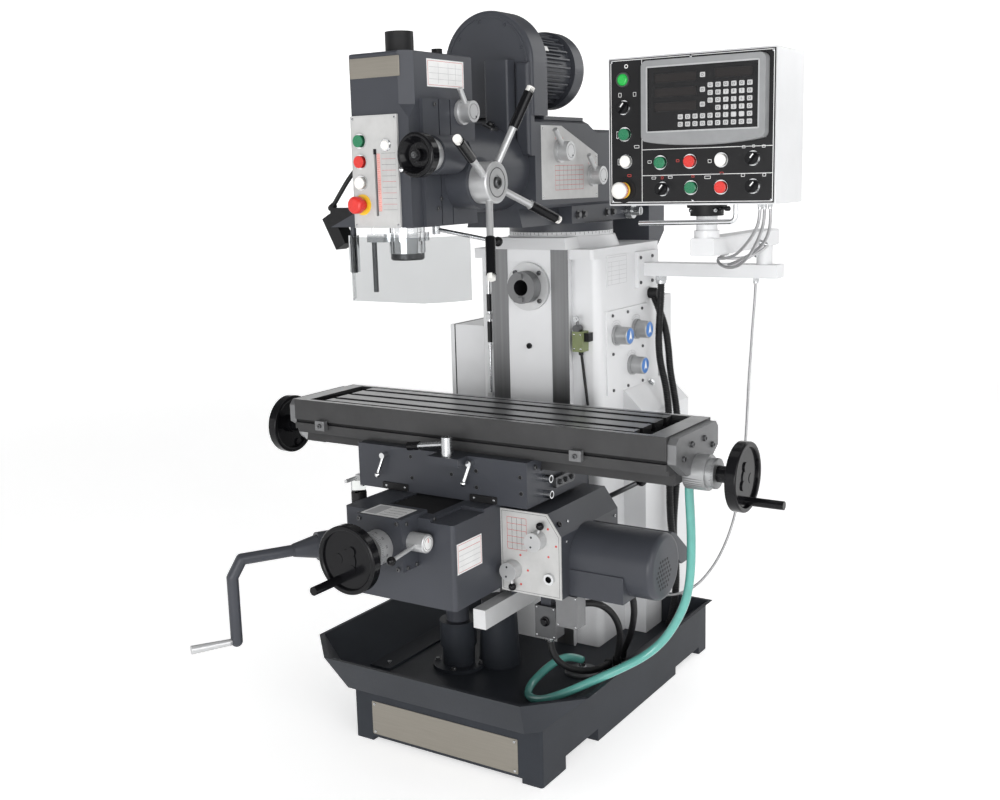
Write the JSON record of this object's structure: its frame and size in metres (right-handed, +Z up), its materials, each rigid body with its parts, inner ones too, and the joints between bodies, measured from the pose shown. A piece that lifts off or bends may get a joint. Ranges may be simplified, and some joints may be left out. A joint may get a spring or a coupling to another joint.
{
  "type": "knee mill",
  "caption": "Turret knee mill with vertical head, horizontal spindle, power-feed table, chip tray and swing-out control panel.",
  "frame": {"origin": "on the floor under the middle of the base plinth", "axes": "+Z up, +X along the table to the right of the operator, -Y towards the operator"},
  "size_m": [1.578, 1.5936, 1.9349],
  "materials": {
    "slate_paint": "satin enamel",
    "white_paint": "satin enamel",
    "ground_iron": "ground top, dark sides",
    "bright_steel": "bright turned",
    "black_plastic": "semi-gloss",
    "black_rubber": "matt",
    "grey_armour": "wound strip",
    "teal_hose": "translucent",
    "clear_plastic": "frosted clear",
    "green_plastic": "gloss",
    "red_plastic": "gloss",
    "white_plastic": "gloss"
  },
  "bodies": {
    "frame": {"base_casting": "slate_paint", "column": "white_paint", "column_cables": "black_rubber", "tray_hoses": "teal_hose"},
    "swing_arm": {"panel_swing_arm": "white_paint", "panel_cables": "grey_armour"},
    "panel": {"panel_box": "white_paint", "panel_face": "black_plastic"},
    "ram": {"ram_housing": "slate_paint", "drive_motor": "slate_paint"},
    "head": {"head_casting": "slate_paint", "head_panel": "white_paint", "head_cable": "black_rubber"},
    "knee": {"knee_casting": "slate_paint", "feed_gearbox": "slate_paint"},
    "button_coolant_off": {"button_coolant_off": "red_plastic"},
    "button_coolant_on": {"button_coolant_on": "green_plastic"},
    "button_feed_start": {"button_feed_start": "green_plastic"},
    "button_feed_stop": {"button_feed_stop": "red_plastic"},
    "button_head_jog": {"button_head_jog": "white_plastic"},
    "button_head_start": {"button_head_start": "green_plastic"},
    "button_head_stop": {"button_head_stop": "red_plastic"},
    "button_rapid_feed": {"button_rapid_feed": "white_plastic"},
    "button_spindle_jog": {"button_spindle_jog": "white_plastic"},
    "button_spindle_start": {"button_spindle_start": "green_plastic"},
    "cabinet_door": {"cabinet_door": "white_paint"},
    "capstan": {"capstan": "bright_steel"},
    "chip_guard": {"chip_guard": "clear_plastic"},
    "column_knob_1": {"column_knob_1": "bright_steel"},
    "column_knob_2": {"column_knob_2": "bright_steel"},
    "column_knob_3": {"column_knob_3": "bright_steel"},
    "cross_feed_wheel": {"cross_feed_wheel": "black_plastic"},
    "elevating_crank": {"elevating_crank": "bright_steel"},
    "feed_range_knob": {"feed_range_knob": "bright_steel"},
    "feed_rate_knob": {"feed_rate_knob": "bright_steel"},
    "fine_feed_wheel": {"fine_feed_wheel": "black_plastic"},
    "head_gear_lever": {"head_gear_lever": "bright_steel"},
    "head_stop_mushroom": {"head_stop_mushroom": "red_plastic"},
    "horizontal_spindle": {"horizontal_spindle": "bright_steel"},
    "knee_clamp_lever": {"knee_clamp_lever": "bright_steel"},
    "knee_nose_lever": {"knee_nose_lever": "bright_steel"},
    "panel_stop": {"panel_stop": "red_plastic"},
    "quill": {"quill": "bright_steel"},
    "quill_lock_lever": {"quill_lock_lever": "bright_steel"},
    "ram_lever_front": {"ram_lever_front": "bright_steel"},
    "ram_lever_rear": {"ram_lever_rear": "bright_steel"},
    "ram_pinion": {"ram_pinion": "bright_steel"},
    "saddle": {"saddle": "slate_paint"},
    "selector_axis_selector": {"selector_axis_selector": "black_plastic"},
    "selector_feed_direction": {"selector_feed_direction": "black_plastic"},
    "selector_spindle_direction": {"selector_spindle_direction": "black_plastic"},
    "selector_work_light": {"selector_work_light": "black_plastic"},
    "table": {"table": "ground_iron"},
    "table_feed_lever": {"table_feed_lever": "bright_steel"},
    "table_lock_left": {"table_lock_left": "bright_steel"},
    "table_lock_right": {"table_lock_right": "bright_steel"},
    "table_wheel_left": {"table_wheel_left": "black_plastic"},
    "table_wheel_right": {"table_wheel_right": "black_plastic"},
    "turret": {"turret": "slate_paint"},
    "vertical_spindle": {"vertical_spindle": "bright_steel"}
  },
  "joints": [
    {"name": "cabinet_door_swing", "type": "hinge", "parent": "frame", "child": "cabinet_door", "pos_m": [-0.3163, 0.37, 0.786], "axis": [0, 0, 1], "range_deg": [-110, 0]},
    {"name": "horizontal_spindle_spin", "type": "hinge", "parent": "frame", "child": "horizontal_spindle", "pos_m": [0, -0.06, 1.213], "axis": [0, 1, 0], "continuous": true},
    {"name": "column_knob_1_turn", "type": "hinge", "parent": "frame", "child": "column_knob_1", "pos_m": [0.22, 0.1, 1.068], "axis": [1, 0, 0], "range_deg": [-60, 60]},
    {"name": "column_knob_2_turn", "type": "hinge", "parent": "frame", "child": "column_knob_2", "pos_m": [0.22, 0.225, 1.071], "axis": [1, 0, 0], "range_deg": [-60, 60]},
    {"name": "column_knob_3_turn", "type": "hinge", "parent": "frame", "child": "column_knob_3", "pos_m": [0.22, 0.196, 0.97], "axis": [1, 0, 0], "range_deg": [-60, 60]},
    {"name": "panel_arm_swing", "type": "hinge", "parent": "frame", "child": "swing_arm", "pos_m": [0.56, 0.295, 1.285], "axis": [0, 0, 1], "range_deg": [-5, 90]},
    {"name": "panel_swivel", "type": "hinge", "parent": "swing_arm", "child": "panel", "pos_m": [0.56, -0.11, 1.42], "axis": [0, 0, 1], "range_deg": [-60, 60], "deforming": ["panel_cables"]},
    {"name": "spindle_start_press", "type": "slide", "parent": "panel", "child": "button_spindle_start", "axis": [0, 1, 0], "range_m": [0, 0.004], "stiffness_N_per_m": 400, "springref_m": -0.004},
    {"name": "spindle_jog_press", "type": "slide", "parent": "panel", "child": "button_spindle_jog", "axis": [0, 1, 0], "range_m": [0, 0.004], "stiffness_N_per_m": 400, "springref_m": -0.004},
    {"name": "feed_start_press", "type": "slide", "parent": "panel", "child": "button_feed_start", "axis": [0, 1, 0], "range_m": [0, 0.004], "stiffness_N_per_m": 400, "springref_m": -0.004},
    {"name": "feed_stop_press", "type": "slide", "parent": "panel", "child": "button_feed_stop", "axis": [0, 1, 0], "range_m": [0, 0.004], "stiffness_N_per_m": 400, "springref_m": -0.004},
    {"name": "rapid_feed_press", "type": "slide", "parent": "panel", "child": "button_rapid_feed", "axis": [0, 1, 0], "range_m": [0, 0.004], "stiffness_N_per_m": 400, "springref_m": -0.004},
    {"name": "coolant_on_press", "type": "slide", "parent": "panel", "child": "button_coolant_on", "axis": [0, 1, 0], "range_m": [0, 0.004], "stiffness_N_per_m": 400, "springref_m": -0.004},
    {"name": "coolant_off_press", "type": "slide", "parent": "panel", "child": "button_coolant_off", "axis": [0, 1, 0], "range_m": [0, 0.004], "stiffness_N_per_m": 400, "springref_m": -0.004},
    {"name": "spindle_direction_turn", "type": "hinge", "parent": "panel", "child": "selector_spindle_direction", "pos_m": [0.4, -0.25, 1.673], "axis": [0, 1, 0], "range_deg": [-45, 45]},
    {"name": "feed_direction_turn", "type": "hinge", "parent": "panel", "child": "selector_feed_direction", "pos_m": [0.727, -0.25, 1.545], "axis": [0, 1, 0], "range_deg": [-45, 45]},
    {"name": "axis_selector_turn", "type": "hinge", "parent": "panel", "child": "selector_axis_selector", "pos_m": [0.502, -0.25, 1.479], "axis": [0, 1, 0], "range_deg": [-45, 45]},
    {"name": "work_light_turn", "type": "hinge", "parent": "panel", "child": "selector_work_light", "pos_m": [0.728, -0.25, 1.482], "axis": [0, 1, 0], "range_deg": [-45, 45]},
    {"name": "panel_stop_press", "type": "slide", "parent": "panel", "child": "panel_stop", "axis": [0, 1, 0], "range_m": [0, 0.004], "stiffness_N_per_m": 600, "springref_m": -0.004},
    {"name": "turret_swing", "type": "hinge", "parent": "frame", "child": "turret", "pos_m": [0, 0.146, 1.37], "axis": [0, 0, 1], "range_deg": [-30, 10]},
    {"name": "ram_slide", "type": "slide", "parent": "turret", "child": "ram", "axis": [0, 1, 0], "range_m": [0, 0.2]},
    {"name": "ram_pinion_turn", "type": "hinge", "parent": "turret", "child": "ram_pinion", "pos_m": [0.12, 0.33, 1.4063], "axis": [1, 0, 0], "range_deg": [-20, 480]},
    {"name": "ram_lever_front_turn", "type": "hinge", "parent": "ram", "child": "ram_lever_front", "pos_m": [0.15, -0.086, 1.579], "axis": [1, 0, 0], "range_deg": [-30, 30]},
    {"name": "ram_lever_rear_turn", "type": "hinge", "parent": "ram", "child": "ram_lever_rear", "pos_m": [0.15, 0.096, 1.513], "axis": [1, 0, 0], "range_deg": [-30, 30]},
    {"name": "head_tilt", "type": "hinge", "parent": "ram", "child": "head", "pos_m": [0, -0.33, 1.54], "axis": [0, 1, 0], "range_deg": [-45, 45]},
    {"name": "quill_feed", "type": "slide", "parent": "head", "child": "quill", "axis": [0, 0, 1], "range_m": [-0.12, 0], "stiffness_N_per_m": 300, "springref_m": 0.4},
    {"name": "capstan_turn", "type": "hinge", "parent": "head", "child": "capstan", "pos_m": [0.17, -0.5, 1.505], "axis": [1, 0, 0], "range_deg": [-5, 350]},
    {"name": "vertical_spindle_spin", "type": "hinge", "parent": "quill", "child": "vertical_spindle", "pos_m": [0, -0.595, 1.4], "axis": [0, 0, 1], "continuous": true},
    {"name": "fine_feed_turn", "type": "hinge", "parent": "head", "child": "fine_feed_wheel", "pos_m": [0.124, -0.71, 1.571], "axis": [0, 1, 0], "continuous": true},
    {"name": "head_gear_turn", "type": "hinge", "parent": "head", "child": "head_gear_lever", "pos_m": [0.11, -0.483, 1.671], "axis": [1, 0, 0], "range_deg": [-30, 30]},
    {"name": "quill_lock_turn", "type": "hinge", "parent": "head", "child": "quill_lock_lever", "pos_m": [0.016, -0.498, 1.395], "axis": [0, 0, 1], "range_deg": [-15, 15]},
    {"name": "chip_guard_swing", "type": "hinge", "parent": "head", "child": "chip_guard", "pos_m": [-0.13, -0.636, 1.31], "axis": [0, 0, 1], "range_deg": [-90, 0]},
    {"name": "head_start_press", "type": "slide", "parent": "head", "child": "button_head_start", "axis": [0, 1, 0], "range_m": [0, 0.004], "stiffness_N_per_m": 400, "springref_m": -0.004},
    {"name": "head_stop_press", "type": "slide", "parent": "head", "child": "button_head_stop", "axis": [0, 1, 0], "range_m": [0, 0.004], "stiffness_N_per_m": 400, "springref_m": -0.004},
    {"name": "head_jog_press", "type": "slide", "parent": "head", "child": "button_head_jog", "axis": [0, 1, 0], "range_m": [0, 0.004], "stiffness_N_per_m": 400, "springref_m": -0.004},
    {"name": "head_mushroom_press", "type": "slide", "parent": "head", "child": "head_stop_mushroom", "axis": [0, 1, 0], "range_m": [0, 0.004], "stiffness_N_per_m": 600, "springref_m": -0.004},
    {"name": "knee_lift", "type": "slide", "parent": "frame", "child": "knee", "axis": [0, 0, 1], "range_m": [-0.11, 0.15], "deforming": ["tray_hoses"]},
    {"name": "elevating_crank_turn", "type": "hinge", "parent": "knee", "child": "elevating_crank", "pos_m": [-0.215, -0.735, 0.621], "axis": [-0.5, -0.866, 0], "continuous": true},
    {"name": "cross_feed_turn", "type": "hinge", "parent": "knee", "child": "cross_feed_wheel", "pos_m": [-0.008, -0.85, 0.655], "axis": [0, 1, 0], "continuous": true},
    {"name": "feed_rate_turn", "type": "hinge", "parent": "knee", "child": "feed_rate_knob", "pos_m": [0.275, -0.49, 0.638], "axis": [0, 1, 0], "range_deg": [-40, 40]},
    {"name": "feed_range_turn", "type": "hinge", "parent": "knee", "child": "feed_range_knob", "pos_m": [0.202, -0.49, 0.551], "axis": [0, 1, 0], "range_deg": [-40, 40]},
    {"name": "knee_clamp_turn", "type": "hinge", "parent": "knee", "child": "knee_clamp_lever", "pos_m": [0.18, -0.11, 0.6], "axis": [1, 0, 0], "range_deg": [-25, 25]},
    {"name": "knee_nose_turn", "type": "hinge", "parent": "knee", "child": "knee_nose_lever", "pos_m": [0.09, -0.708, 0.668], "axis": [1, 0, 0], "range_deg": [-25, 25]},
    {"name": "saddle_cross", "type": "slide", "parent": "knee", "child": "saddle", "axis": [0, 1, 0], "range_m": [-0.12, 0.12]},
    {"name": "table_lock_left_turn", "type": "hinge", "parent": "saddle", "child": "table_lock_left", "pos_m": [-0.168, -0.51, 0.812], "axis": [0, 1, 0], "range_deg": [-35, 35]},
    {"name": "table_lock_right_turn", "type": "hinge", "parent": "saddle", "child": "table_lock_right", "pos_m": [0.103, -0.51, 0.82], "axis": [0, 1, 0], "range_deg": [-35, 20]},
    {"name": "table_feed_turn", "type": "hinge", "parent": "saddle", "child": "table_feed_lever", "pos_m": [0.043, -0.5225, 0.85], "axis": [0, 0, 1], "range_deg": [-20, 20]},
    {"name": "table_traverse", "type": "slide", "parent": "saddle", "child": "table", "axis": [1, 0, 0], "range_m": [-0.35, 0.23]},
    {"name": "table_wheel_left_turn", "type": "hinge", "parent": "table", "child": "table_wheel_left", "pos_m": [-0.65, -0.35, 0.8242], "axis": [1, 0, 0], "continuous": true},
    {"name": "table_wheel_right_turn", "type": "hinge", "parent": "table", "child": "table_wheel_right", "pos_m": [0.75, -0.35, 0.8242], "axis": [1, 0, 0], "continuous": true}
  ],
  "couplings": [
    {"joint": "ram_pinion_turn", "follows": "ram_slide", "rad_per_m": 40},
    {"joint": "capstan_turn", "follows": "quill_feed", "rad_per_m": -50}
  ]
}
